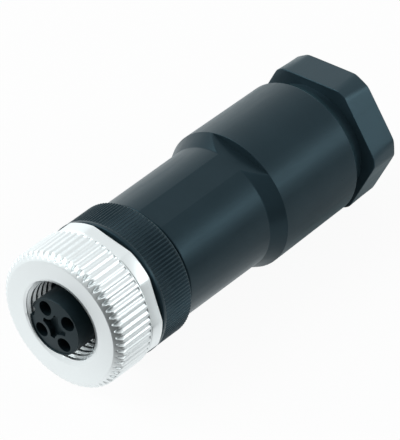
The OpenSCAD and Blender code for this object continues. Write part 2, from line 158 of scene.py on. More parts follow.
class InsertSizes(bpy.types.PropertyGroup):
    """Sizes of the contact insert."""
    rim: length("Chamfer round the insert's face", 0.2)
    circle: length("Diameter of the circle of contacts", 5.4)
    hole: length("Diameter of a contact hole", 2.1)
    first: angle("Angle of the first contact", 55)
    key_angle: angle("Angle of the coding keyway", 280)
    key_width: length("Width of the coding keyway", 1.4)
    key_depth: length("Depth of the coding keyway", 0.65)
    star_depth: length("Depth of the recess between the holes", 1.0)
    star_wall: length("Wall left round each hole in the recess", 0.5)


class CollarSizes(bpy.types.PropertyGroup):
    """Sizes of the knurled collar."""
    ridges: bpy.props.IntProperty(description="Knurl ridges round the collar", default=120, min=24)
    ridge_depth: length("Depth of the knurl", 0.22)
    land: length("Length of the plain land in front of the knurl", 0.6)
    land_height: length("Height of the land above the knurl", 0.05)
    rear_chamfer: length("Chamfer behind the knurl", 0.6)
    length: length("Length of the collar without its spigot", 6.2)
    neck_radius: length("Radius of the bore round the insert's neck", 5.03)
    spigot_radius: length("Outer radius of the spigot's thread", 7.45)
    spigot_depth: length("Depth of the spigot's thread", 0.25)


class SleeveSizes(bpy.types.PropertyGroup):
    """Sizes of the cable sleeve."""
    front_radius: length("Radius in front of the shoulder", 8.95)
    shoulder_at: length("Distance of the shoulder from the front", 16.15)
    shoulder_length: length("Length of the shoulder's cone", 2.3)
    flat_radius: length("Distance of the flat from the axis", 8.75)
    flat_angle: angle("Angle of the flat round the axis", 13)
    taper: length("How much the barrel's radius shrinks towards the rear", 0.2)
    rear_round: length("Rounding of the barrel's rear edge", 0.12)


class NutSizes(bpy.types.PropertyGroup):
    """Sizes of the pressing nut."""
    flat_radius: length("Distance of the flats from the axis", 9.45)
    flat_angle: angle("Angle of the hexagon's first flat", -4)
    bevel_extra: length("How much further out the bevelled corners are", 0.95)
    bevel_slope: angle("How the bevelled corners lean inwards to the rear", 4)
    collar_step: length("Depth of the round collar below the flats", 0.4)
    neck_step: length("Depth of the neck behind the collar below the flats", 1.2)
    hex_length: length("Length of the hexagon", 4.7)
    collar_length: length("Length of the collar and neck", 2.4)
    entry_radius: length("Radius of the cable entry", 4.3)
    edge_round: length("Rounding of the hexagon's edges", 0.12)
    thread_radius: length("Outer radius of the shank's thread", 7.95)
    thread_depth: length("Depth of the shank's thread", 0.5)


class Finishes(bpy.types.PropertyGroup):
    """Colours and roughnesses of the materials."""
    nickel: colour("Plating of the coupling ring", (0.86, 0.915, 0.925))
    nickel_roughness: factor("Roughness of the plating", 0.45)
    plastic: colour("Moulded plastic of the shell", (0.0115, 0.0208, 0.0268))
    plastic_roughness: factor("Roughness of the shell", 0.34)
    plastic_gloss: colour("Tint of the shell's gloss", (0.42, 0.80, 1.0))
    plastic_sheen: colour("Tint of the shell's sheen", (0.36, 0.85, 1.0))
    # The insert's colour is darker than the shell's as painted shade, since the insert sits deep in the
    # ring's mouth
    insert: colour("Plastic of the contact insert", (0.004, 0.008, 0.0105))
    insert_roughness: factor("Roughness of the insert", 0.46)
    insert_gloss: colour("Tint of the insert's gloss", (0.55, 0.88, 1.0))
    rubber: colour("Seals and grommet", (0.012, 0.012, 0.013))
    gold: colour("Plating of the contacts", (0.90, 0.62, 0.22))
    terminal: colour("Plating of the terminals", (0.72, 0.70, 0.64))
    steel: colour("Screws and clamp plates", (0.60, 0.61, 0.62))


class StageSizes(bpy.types.PropertyGroup):
    """Where the camera stands, and its lens."""
    azimuth: angle("Direction of the camera round the connector", -50.1)
    elevation: angle("Height of the camera above the horizon", 37.55)
    distance: length("Distance of the camera from the ring's face", 719)
    right: length("How far the view's centre lies to the right of the face", 17.9)
    up: length("How far the view's centre lies above the face", 13.15)
    lens: bpy.props.FloatProperty(description="Focal length in millimetres", default=458.8)


class ConnectorSettings(bpy.types.PropertyGroup):
    """Everything that can be set on the connector."""
    ring: bpy.props.PointerProperty(type=RingSizes)
    insert: bpy.props.PointerProperty(type=InsertSizes)
    collar: bpy.props.PointerProperty(type=CollarSizes)
    sleeve: bpy.props.PointerProperty(type=SleeveSizes)
    nut: bpy.props.PointerProperty(type=NutSizes)
    finishes: bpy.props.PointerProperty(type=Finishes)
    stage: bpy.props.PointerProperty(type=StageSizes)


# ---- surfaces

class Shape:
    """A mesh gathered from grids of points, in millimetres round the axis."""

    def __init__(self):
        self.points, self.faces, self.count = [], [], 0

    def grid(self, x, radius, around, loop=True, seam=True):
        """Adds points (x, -r sin t, r cos t), one row per station and one column per angle. Faces
        point outwards where the rows run towards +X on the outside. loop joins the last row to
        the first, and seam the last column to the first."""
        x, radius, around = np.broadcast_arrays(x, radius, around)
        rows, cols = x.shape
        spots = np.stack((x, -radius * np.sin(around), radius * np.cos(around)), -1)
        self.points.append(spots.reshape(-1, 3))
        i = np.arange(rows if loop else rows - 1)[:, None]
        j = np.arange(cols if seam else cols - 1)[None, :]
        after, beside = (i + 1) % rows, (j + 1) % cols
        quads = np.stack(np.broadcast_arrays(i * cols + j, i * cols + beside,
                                             after * cols + beside, after * cols + j), -1)
        self.faces.append(quads.reshape(-1, 4) + self.count)
        self.count += rows * cols

    def skin(self, around, *parts, seam=True):
        """Adds a grid whose rows are those of several (stations, radii) parts, one after another."""
        x, radius = (np.concatenate([np.broadcast_to(part[k], (len(part[k]), around.size))
                                     for part in parts]) for k in (0, 1))
        self.grid(x, radius, around, seam=seam)

    def mesh(self, name, sharp_degrees=32):
        """The gathered grids as one smooth mesh in metres, its doubles merged and its edges sharp
        where two faces meet at more than sharp_degrees."""
        points, faces = np.concatenate(self.points) * MM, np.concatenate(self.faces)
        mesh = bpy.data.meshes.new(name)
        mesh.vertices.add(len(points))
        mesh.vertices.foreach_set("co", points.astype(np.float32).ravel())
        mesh.loops.add(faces.size)
        mesh.loops.foreach_set("vertex_index", faces.astype(np.int32).ravel())
        mesh.polygons.add(len(faces))
        mesh.polygons.foreach_set("loop_start", np.arange(0, faces.size, 4, dtype=np.int32))
        mesh.update(calc_edges=True)
        with_bmesh(mesh, lambda work: bmesh.ops.remove_doubles(work, verts=work.verts, dist=2e-4 * MM))
        mesh.shade_smooth()
        mesh.set_sharp_from_angle(angle=math.radians(sharp_degrees))
        return mesh


def with_bmesh(mesh, change):
    """Makes a change to a mesh through a bmesh."""
    work = bmesh.new()
    work.from_mesh(mesh)
    change(work)
    work.to_mesh(mesh)
    work.free()


def line(points):
    """A list of (station, radius) points as two columns."""
    points = np.array(points, float)
    return points[:, :1], points[:, 1:]


def column(*parts):
    """Numbers and lists of numbers, one below the other."""
    return np.concatenate([np.atleast_1d(part) for part in parts])[:, None]


def rounded(corners, steps=4, support=0.03):
    """Turns the closed outline of (station, radius, rounding) corners into columns of stations and
    radii. A corner that turns by an angle a is cut back by rounding * tan(a / 2) along both sides
    and carried round on an arc, with a point just outside each end of it to hold the shading."""
    corners = np.array(corners, float)
    out = []
    for k, (x, r, fillet) in enumerate(corners):
        here = corners[k, :2]
        back, ahead = corners[k - 1, :2] - here, corners[(k + 1) % len(corners), :2] - here
        reach_back, reach_ahead = np.hypot(*back), np.hypot(*ahead)
        back, ahead = back / reach_back, ahead / reach_ahead
        turn = math.pi - math.acos(np.clip(back @ ahead, -1, 1))
        cut = fillet * math.tan(turn / 2)
        middle = (back + ahead) / np.hypot(*(back + ahead))
        centre = here + middle * fillet / math.cos(turn / 2)
        first, last = here + back * cut - centre, here + ahead * cut - centre
        if cut + support < reach_back / 2:
            out.append(here + back * (cut + support))
        for f in np.linspace(0, 1, steps + 1):
            arm = first * math.sin((1 - f) * turn) + last * math.sin(f * turn)
            out.append(centre + arm / math.sin(turn))
        if cut + support < reach_ahead / 2:
            out.append(here + ahead * (cut + support))
    return line(out)


def circle(count):
    """Equal angles round the axis, as one row."""
    return np.linspace(0, TURN, count, endpoint=False)[None, :]


def quarter(count):
    """Equal angles from 0 to a right angle."""
    return np.linspace(0, TURN / 4, count)


def soft_min(a, b, blend):
    """The lower of two radii, with the crease between them rounded over about blend."""
    return (a + b - np.sqrt((a - b) ** 2 + blend ** 2)) / 2


def smooth_step(low, high, value):
    """0 below low and 1 above high, along 3 f^2 - 2 f^3 between them."""
    f = np.clip((value - low) / (high - low), 0, 1)
    return f * f * (3 - 2 * f)


def prism_radius(around, flat, first):
    """Radius of a regular hexagonal prism at each angle: flat / cos(a), where a is the angle from
    the middle of the nearest flat."""
    step = TURN / 6
    off = (around - first + step / 2) % step - step / 2
    return flat / np.cos(off)


def thread_rows(x0, x1, crest, root, pitch, end_radius, run_in, inner=False):
    """A thread's skin as (stations, radii, angles). Rows follow the helix
    x = pitch (t + angle / turn), so a row one turn on meets its start at the seam. In each pitch
    the roots are pitch / 8 wide, and 60 degree flanks of width |crest - root| tan 30 lead to the
    crest, which takes what is left. Both ends slope to end_radius over run_in, and rows past an
    end lie on it. Rows run towards +X outside, and towards -X inside."""
    around = np.linspace(0, TURN, THREAD_COLUMNS + 1)[None, :]
    # Shares of a pitch, from the crest's middle to the corners of the root and of the crest
    root_at = 0.5 - 1 / 16
    crest_at = root_at - abs(crest - root) * math.tan(TURN / 12) / pitch
    ease = 0.015
    edges = np.array([crest_at - ease, crest_at + ease, root_at - ease, root_at + ease])
    phases = np.concatenate((-edges[::-1], edges))
    turns = np.arange(math.floor(x0 / pitch) - 2, math.ceil(x1 / pitch) + 2)
    t = (turns[:, None] + phases[None, :]).ravel()[:, None]
    off = np.abs((t + 0.5) % 1 - 0.5)
    slip = (root - crest) * 0.04
    radius = np.interp(off, [0, *edges, 0.5], [crest, crest, crest + slip, root - slip, root, root])
    x = pitch * (t + around / TURN)
    ends = np.minimum(x - x0, x1 - x) / run_in
    edge = end_radius + (crest - end_radius) * np.clip(ends, 0, 1)
    radius = np.maximum(radius, edge) if inner else np.minimum(radius, edge)
    x = np.clip(x, x0, x1)
    return (x[::-1], radius[::-1], around) if inner else (x, radius, around)


def linked(name, data):
    """A new object in the scene."""
    obj = bpy.data.objects.new(name, data)
    bpy.context.scene.collection.objects.link(obj)
    return obj


def piece(mesh, body, nodes, finish):
    """Puts a mesh into the scene as the piece that stands for the nodes, riding on a body."""
    obj = linked(mesh.name, mesh)
    mesh.materials.append(finish)
    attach(obj, body)
    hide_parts(*nodes)
    return obj


# ---- shader helpers

class Wire:
    """A socket that carries a number or a vector. Arithmetic on a number adds Math nodes."""

    def __init__(self, shader, socket):
        self.shader, self.socket = shader, socket

    def math(self, operation, first, second):
        return self.shader.add("Math", {"operation": operation}, {0: first, 1: second})

    def __add__(self, other):
        return self.math("ADD", self, other)

    def __sub__(self, other):
        return self.math("SUBTRACT", self, other)

    def __mul__(self, other):
        return self.math("MULTIPLY", self, other)

    def __pow__(self, other):
        return self.math("POWER", self, other)

    def __rsub__(self, other):
        return self.math("SUBTRACT", other, self)

    __radd__ = __add__

    def above(self, low, high):
        """0 where the value is below low, 1 where it is above high, and smooth between."""
        return self.shader.add("MapRange", {"interpolation_type": "SMOOTHSTEP"},
                               {"Value": self, "From Min": low, "From Max": high})

    def towards(self, way, low, high):
        """0 to 1 as the vector's part along a way goes from low to high."""
        return self.shader.add("VectorMath", {"operation": "DOT_PRODUCT"}, {0: self, 1: way},
                               output="Value").above(low, high)


class Shader:
    """The node tree of a material or of the world."""

    def __init__(self, owner):
        owner.use_nodes = True
        self.tree = owner.node_tree
        self.tree.nodes.clear()

    def add(self, kind, settings=None, inputs=None, output=0):
        """Adds a node, sets its settings, fills its sockets, and gives one of its outputs."""
        node = self.tree.nodes.new("ShaderNode" + kind)
        for key, value in (settings or {}).items():
            setattr(node, key, value)
        for key, value in (inputs or {}).items():
            if isinstance(value, Wire):
                self.tree.links.new(value.socket, node.inputs[key])
            else:
                node.inputs[key].default_value = value
        return Wire(self, node.outputs[output]) if len(node.outputs) else None

    def place(self):
        """Object coordinates in millimetres."""
        spot = self.add("TexCoord", output="Object")
        return self.add("VectorMath", {"operation": "SCALE"}, {0: spot, "Scale": 1 / MM})

    def stretched(self, vector, scale):
        """A vector with each part multiplied by its own scale."""
        return self.add("Mapping", None, {"Vector": vector, "Scale": scale})

    def split(self, vector):
        """The three parts of a vector."""
        node = self.tree.nodes.new("ShaderNodeSeparateXYZ")
        self.tree.links.new(vector.socket, node.inputs[0])
        return [Wire(self, out) for out in node.outputs]

    def noise(self, vector, scale, detail=3.0, roughness=0.5):
        """Noise between 0 and 1, with scale in features per unit of the vector."""
        return self.add("TexNoise", None, {"Vector": vector, "Scale": scale, "Detail": detail,
                                           "Roughness": roughness})

    def mottle(self, share, rgb, low, high):
        """A colour that goes from low to high times its brightness as share goes from 0 to 1."""
        return self.add("Mix", {"data_type": "RGBA"},
                        {0: share, 6: rgba(rgb, low), 7: rgba(rgb, high)}, output=2)

    def bump(self, height, distance_mm, strength):
        """A normal bent by a height of 0 to 1 that stands for distance_mm."""
        return self.add("Bump", None, {"Height": height, "Distance": distance_mm * MM,
                                       "Strength": strength})

    def rays(self):
        """Whether a ray comes from the camera or through glass, and whether it comes off gloss."""
        seen, gloss, clear = (self.add("LightPath", output=f"Is {kind} Ray")
                              for kind in ("Camera", "Glossy", "Transmission"))
        return seen + clear, gloss


def material(name, build):
    """A material whose surface has the sockets that build(shader, finishes) gives."""
    made = bpy.data.materials.get(name)
    if made is None:
        made = bpy.data.materials.new(name)
        shader = Shader(made)
        surface = shader.add("BsdfPrincipled", None, build(shader, bpy.context.scene.m12.finishes))
        shader.add("OutputMaterial", None, {"Surface": surface})
    return made


def rgba(rgb, gain=1.0):
    """A colour with its alpha, each part multiplied by gain."""
    return (*[min(1, c * gain) for c in rgb], 1)


def swing(noise, width):
    """Noise spread evenly over -width / 2 to width / 2."""
    return (noise - 0.5) * width


# ---- materials

# Each plated metal's material, roughness and turning lines in a millimetre
METALS = {"gold": ("bright_gold", 0.22, 12.0), "terminal": ("tinned_brass", 0.30, 8.0),
          "steel": ("zinc_plated_steel", 0.34, 9.0)}


def nickel_plating():
    """Satin nickel: fine turning lines that follow radius and station, and faint clouding."""
    lines_per_mm = 14.0

    def build(shader, finishes):
        spot = shader.place()
        x, y, z = shader.split(spot)
        radius = (y * y + z * z) ** 0.5
        lines = shader.add("CombineXYZ", None, {"X": radius * lines_per_mm, "Y": x * lines_per_mm})
        turning = shader.noise(lines, scale=1.0, detail=4.0, roughness=0.6)
        cloud = shader.noise(spot, scale=0.35, detail=2.0)
        grain = shader.noise(spot, scale=18.0, detail=2.0)
        return {"Base Color": shader.mottle(cloud, finishes.nickel, 0.97, 1.03), "Metallic": 1.0,
                "Roughness": finishes.nickel_roughness + swing(turning, 0.10) + swing(cloud, 0.08),
                "Normal": shader.bump(turning * 0.6 + grain * 0.4, 0.004, strength=0.2)}
    return material("satin_nickel", build)


def black_plastic(name="satin_black_plastic", gain=1.0, gloss=0.30):
    """Satin moulded plastic: a fine spark-eroded grain, slow clouding and small roughness changes
    drawn out along the axis. The gain lightens its colour, and gloss is its specular level."""
    def build(shader, finishes):
        spot = shader.place()
        cloud = shader.noise(spot, scale=0.22)
        grain = shader.noise(spot, scale=3.2, roughness=0.6)
        flow = shader.noise(shader.stretched(spot, (0.15, 1.2, 1.2)), scale=1.0, detail=2.0)
        return {"Base Color": shader.mottle(cloud, finishes.plastic, 0.78 * gain, 1.22 * gain),
                "Roughness": finishes.plastic_roughness + swing(flow, 0.18) + swing(grain, 0.10),
                "Specular Tint": rgba(finishes.plastic_gloss), "Specular IOR Level": gloss,
                "Sheen Weight": 0.12, "Sheen Tint": rgba(finishes.plastic_sheen),
                "Sheen Roughness": 0.4,
                "Normal": shader.bump(grain, 0.014, strength=0.35)}
    return material(name, build)


def insert_plastic():
    """Darker and duller moulding of the contact insert: black plastic, darkened further as painted
    shade for the insert deep in the ring's mouth.
    """
    def build(shader, finishes):
        spot = shader.place()
        cloud = shader.noise(spot, scale=0.5, detail=2.0)
        grain = shader.noise(spot, scale=4.0, detail=2.0)
        return {"Base Color": shader.mottle(cloud, finishes.insert, 0.85, 1.15),
                "Roughness": finishes.insert_roughness + swing(grain, 0.1),
                "Specular Tint": rgba(finishes.insert_gloss), "Specular IOR Level": 0.40,
                "Normal": shader.bump(grain, 0.008, strength=0.25)}
    return material("insert_moulding", build)


def seal_rubber():
    """Dull rubber with a mottled bloom."""
    def build(shader, finishes):
        spot = shader.place()
        bloom = shader.noise(spot, scale=1.4, detail=4.0, roughness=0.6)
        grain = shader.noise(spot, scale=9.0)
        return {"Base Color": shader.mottle(bloom, finishes.rubber, 0.8, 1.5),
                "Roughness": 0.68 + swing(bloom, 0.2),
                "Normal": shader.bump(grain, 0.015, strength=0.4)}
    return material("mottled_rubber", build)


def plated_metal(kind):
    """Plated metal of a kind, with turning lines along its axis and a faint stain."""
    name, roughness, lines_per_mm = METALS[kind]

    def build(shader, finishes):
        spot = shader.place()
        stain = shader.noise(spot, scale=0.9, roughness=0.6)
        fine = shader.noise(shader.stretched(spot, (lines_per_mm, 3.0, 3.0)), scale=1.0)
        return {"Base Color": shader.mottle(stain, getattr(finishes, kind), 0.9, 1.05),
                "Metallic": 1.0, "Roughness": roughness + swing(fine, 0.14) + swing(stain, 0.08),
                "Normal": shader.bump(fine, 0.004, strength=0.5)}
    return material(name, build)


# ---- pieces

class CONNECTOR_OT_ring(bpy.types.Operator):
    """Build the fluted coupling ring and its thread"""
    bl_idname = "connector.ring"
    bl_label = "Coupling ring"

    def execute(self, context):
        sizes = in_mm(context.scene.m12.ring)
        shape = Shape()
        self.shell(shape, sizes)
        self.thread(shape, sizes)
        piece(shape.mesh("coupling_ring_detail"), "ring", ["coupling_ring"], nickel_plating())
        return {"FINISHED"}

    def shell(self, shape, sizes):
        """The outside is the lower of the nose and of the fluted ribs, and behind them the rounded
        hexagon of the band. The nose falls below the ribs by its height times (1 - f)^2, with f
        from 0 at the face to 1 at its end. A flute's sides slope along a smooth step. It gets
        shallower behind the nose, and ends just before the band."""
        front, rear = station("coupling_ring", 0), station("coupling_ring", 1)
        ribs = half_height("cable_sleeve")
        side = np.array([0.09, 0.16, 0.23, 0.30, 0.36, 0.40, 0.44])
        across = np.concatenate(([-0.5], -side[::-1], [0], side))
        off = np.tile(across, sizes.flutes)
        flute = np.repeat(np.arange(sizes.flutes), len(across))
        around = (flute + off)[None, :] * TURN / sizes.flutes
        groove = 1 - smooth_step(0.04, 0.43, np.abs(off))[None, :]

        nose_end, band_front = front + sizes.nose_length, rear - sizes.band_length
        f = np.array([0, 0.03, 0.08, 0.16, 0.24, 0.32, 0.40, 0.48, 0.56, 0.64, 0.72, 0.80, 0.88,
                      0.95, 1.0])
        x = column(front + sizes.nose_length * f, nose_end + 0.25, nose_end + 0.55,
                   band_front - np.array([1.0, 0.22, 0.17, 0.13, 0.06, 0.03]))
        along = np.clip((x - front) / sizes.nose_length, 0, 1)
        nose = ribs - sizes.nose_height * (1 - along) ** 2
        loss = smooth_step(front + 0.35, front + 1.3, x)
        depth = sizes.flute_depth * groove * (1 - sizes.flute_loss * loss)
        depth = depth * (1 - smooth_step(band_front - 0.16, band_front - 0.12, x))
        crease, lift = 0.05, 0.012
        outer = soft_min(nose, ribs - depth, crease) + lift

        flat, corner = ribs - sizes.band_flat, ribs + sizes.band_corner
        band = soft_min(prism_radius(around, flat, sizes.band_angle), corner, 0.06)
        band_x, drop = line([[band_front, 0.12], [band_front + 0.06, 0.03],
                             [band_front + 0.15, 0], [(band_front + rear) / 2, 0],
                             [rear - 0.36, 0], [rear - 0.24, 0.02], [rear - 0.12, 0.09],
                             [rear - 0.04, 0.19], [rear, 0.34]])
        bore, groove_r = ring_bore(), sizes.groove_radius
        slack = 0.03
        clip0, clip1 = station("retaining_ring", 0) - slack, station("retaining_ring", 1) + slack
        deep, mouth = front + sizes.thread_depth, sizes.mouth_radius
        face = ribs - sizes.nose_height
        inner = line([[rear, flat - 0.6], [rear, bore + 0.35], [rear - 0.02, bore + 0.25],
                      [rear - 0.25, bore], [clip1, bore], [clip1, groove_r], [clip0, groove_r],
                      [clip0, bore], [deep, bore], [deep, mouth + 0.1],
                      [front + 0.1, mouth + 0.1], [front, mouth], [front, mouth + 0.05],
                      [front, face - 0.12], [front, face - 0.04]])
        shape.skin(around, (x, outer), (band_x, band - drop), inner)

    def thread(self, shape, sizes):
        """The thread's skin, backed by a wall behind it."""
        front = station("coupling_ring", 0)
        deep, mouth = front + sizes.thread_depth, sizes.mouth_radius
        x, r, around = thread_rows(front, deep, sizes.thread_minor, sizes.thread_major,
                                   sizes.pitch, mouth, run_in=0.3, inner=True)
        wall = line([[front, mouth], [front + 0.1, mouth + 0.1], [deep, mouth + 0.1], [deep, mouth]])
        shape.skin(around, wall, (x, r), seam=False)


def ring_bore():
    """Radius of the ring's bore behind its thread, which runs on the flange."""
    return half_height("flange_bush") + RUNNING_GAP


class CONNECTOR_OT_insert(bpy.types.Operator):
    """Build the contact insert with its holes, keyway and recess"""
    bl_idname = "connector.insert"
    bl_label = "Contact insert"

    def execute(self, context):
        sizes = in_mm(context.scene.m12.insert)
        front, rear = station("contact_insert", 0), station("contact_insert", 1)
        outer, rim = half_height("contact_insert"), sizes.rim
        body = Shape()
        x, r = rounded([(front, outer - rim, 0.12), (front + rim, outer, 0.1), (rear, outer, 0.02)])
        body.grid(column(front, x[:, 0], rear), column(0, r[:, 0], 0), circle(144), loop=False)
        obj = piece(body.mesh("contact_insert_detail"), "core", ["contact_insert"],
                    insert_plastic())
        cutters = [self.hole(sizes, i, front) for i in range(4)]
        cutters += [self.star(sizes, front), self.keyway(sizes, front, outer)]
        cut(obj, cutters)
        return {"FINISHED"}

    def hole(self, sizes, i, front):
        """A contact hole with a lead-in, wider round the socket and narrow round its shank."""
        wide, lead, past = sizes.hole / 2, 0.14, 0.5
        socket_r, socket_length, shank_r = 0.88, 6.5, 0.43
        step = station("contact_1", 0) - 0.06
        socket_end = station("contact_1", 0) + socket_length
        rear = station("contact_insert", 1) + 1
        outline = line([[front - past, 0], [front - past, wide + lead + past],
                        [front + lead, wide], [step, wide], [step, socket_r],
                        [socket_end, socket_r], [socket_end, shank_r], [rear, shank_r],
                        [rear, 0]])
        return turned_at(outline, circle(48), sizes.circle / 2, sizes.first + i * TURN / 4)

    def star(self, sizes, front):
        """The recess between the holes: at each angle, the lower of the pocket's radius and of the
        reach to the wall round the nearest hole."""
        circle_r, wall = sizes.circle / 2, sizes.hole / 2 + sizes.star_wall
        pocket = circle_r - sizes.hole / 2 + sizes.star_wall / 2
        around = circle(192)
        off = (around - sizes.first + TURN / 8) % (TURN / 4) - TURN / 8
        inside = wall ** 2 - (circle_r * np.sin(off)) ** 2
        near = np.where(inside > 0, circle_r * np.cos(off) - np.sqrt(np.maximum(inside, 0)), OUTSIDE)
        radius = soft_min(near, pocket, 0.06)
        floor, above, lead = front + sizes.star_depth, front - 0.5, radius + 0.08
        x = column(above, above, front + 0.001, front + 0.08, floor - 0.05, floor, floor)
        r = np.concatenate((0 * radius, lead, lead, radius, radius, radius - 0.05, 0 * radius))
        shape = Shape()
        shape.grid(x, r, around, loop=False)
        return shape.mesh("star")

    def keyway(self, sizes, front, outer):
        """The keyway as a slot with a rounded floor, which runs along the insert."""
        half, fillet = sizes.key_width / 2, 0.15
        floor = outer - sizes.key_depth
        side = np.array([[half - fillet + fillet * math.sin(a),
                          floor + fillet - fillet * math.cos(a)] for a in quarter(5)])
        top = [[half, outer + 1], [-half, outer + 1]]
        outline = np.concatenate(([[0, floor]], side, top, (side * [-1, 1])[::-1]))
        return prism_at(outline, front - 1, station("face_seal", 0) + 0.1, sizes.key_angle)


def turned_at(outline, around, radius, turn):
    """A turned shape about a line parallel to the axis, at a radius and angle round it."""
    shape = Shape()
    shape.grid(*outline, around, loop=False)
    mesh = shape.mesh("cutter")
    mesh.transform(Matrix.Translation((0, -radius * math.sin(turn) * MM, radius * math.cos(turn) * MM)))
    return mesh


def prism_at(outline, x0, x1, turn):
    """A prism along the axis from an outline of (sideways, outwards) points, at an angle."""
    n = len(outline)
    across, out = outline[:, 0], outline[:, 1]
    sin, cos = math.sin(turn), math.cos(turn)
    y, z = -out * sin - across * cos, out * cos - across * sin
    ends = [np.stack((np.full(n, x), y, z), -1) for x in (x0, x1)]
    sides = [(i, (i + 1) % n, n + (i + 1) % n, n + i) for i in range(n)]
    caps = [tuple(range(n))[::-1], tuple(range(n, 2 * n))]
    mesh = bpy.data.meshes.new("cutter")
    mesh.from_pydata((np.concatenate(ends) * MM).tolist(), [], sides + caps)
    with_bmesh(mesh, lambda work: bmesh.ops.recalc_face_normals(work, faces=work.faces))
    return mesh


def cut(obj, cutters):
    """Takes cutter meshes out of an object, and leaves one smooth mesh with sharp edges."""
    for mesh in cutters:
        tool = linked("cutter", mesh)
        step = obj.modifiers.new("cut", "BOOLEAN")
        step.operation, step.solver, step.object = "DIFFERENCE", "MANIFOLD", tool
        bpy.context.view_layer.update()
        made = bpy.data.meshes.new_from_object(obj.evaluated_get(bpy.context.evaluated_depsgraph_get()))
        obj.modifiers.clear()
        obj.data = made
        bpy.data.objects.remove(tool)
    obj.data.shade_smooth()
    obj.data.set_sharp_from_angle(angle=math.radians(28))


class CONNECTOR_OT_collar(bpy.types.Operator):
    """Build the knurled collar and its threaded spigot"""
    bl_idname = "connector.collar"
    bl_label = "Knurled collar"

    def execute(self, context):
        sizes = in_mm(context.scene.m12.collar)
        shape = Shape()
        self.body(shape, sizes)
        self.spigot(shape, sizes)
        piece(shape.mesh("knurled_collar_detail", 40), "core", ["knurled_collar"],
              black_plastic())
        return {"FINISHED"}

    def body(self, shape, sizes):
        """The outside is a plain land, then ridges whose radius swings between crest and root,
        then a chamfer. The ridges rise and fade over a fifth of a millimetre."""
        front, outer = station("knurled_collar", 0), half_height("knurled_collar")
        rear = front + sizes.length
        crest, chamfer = outer - sizes.land_height, sizes.rear_chamfer
        knurl0, knurl1 = front + sizes.land, rear - chamfer
        around = circle(sizes.ridges * 8)
        wave = np.abs(((around * sizes.ridges / TURN) % 1) - 0.5) * 2
        valley = sizes.ridge_depth * smooth_step(0.08, 0.95, wave)

        # Station, radius of the crests, and share of the valleys' depth
        profile = np.array([
            (front, outer - 0.20, 0), (front, outer - 0.13, 0), (front + 0.02, outer - 0.08, 0),
            (front + 0.06, outer - 0.03, 0), (front + 0.13, outer, 0), (front + 0.18, outer, 0),
            (knurl0 - 0.12, outer, 0), (knurl0 - 0.06, outer - 0.02, 0), (knurl0, crest, 0.2),
            (knurl0 + 0.08, crest, 0.7), (knurl0 + 0.2, crest, 1),
            ((knurl0 + knurl1) / 2, crest, 1), (knurl1 - 0.1, crest, 1),
            (knurl1, crest - 0.02, 1), (knurl1 + 0.06, crest - 0.06, 0.75),
            (knurl1 + 0.15, crest - 0.15, 0.4)])
        x, r, deep = np.split(profile, 3, axis=1)
        edge, root = crest - chamfer, sizes.spigot_radius - 0.5
        bore, wall = half_height("terminal_carrier") + RUNNING_GAP, station("flange_bush", 1)
        neck, overlap = sizes.neck_radius, rear - 1.0
        inner = line([[rear - 0.12, edge + 0.06], [rear - 0.04, edge - 0.06], [rear, edge - 0.14],
                      [rear, root], [overlap, root], [overlap, bore], [wall, bore],
                      [wall, neck], [front + 0.15, neck], [front, neck + 0.15]])
        shape.skin(around, (x, r - valley * deep), inner)

    def spigot(self, shape, sizes):
        """The thin spigot with its thread, round the terminal carrier."""
        x0 = station("knurled_collar", 0) + sizes.length
        x1, crest = station("knurled_collar", 1), sizes.spigot_radius
        root, bore = crest - sizes.spigot_depth, half_height("terminal_carrier") + RUNNING_GAP
        neck, overlap = x0 + 0.6, x0 - 1.0
        x, r, around = thread_rows(neck, x1 - 0.02, crest, root, REAR_PITCH, root, run_in=0.3)
        wall = line([[x1, root - 0.05], [x1, bore + 0.02], [x1 - 0.05, bore], [overlap, bore],
                     [overlap, root], [neck, root]])
        shape.skin(around, (x, r), wall, seam=False)


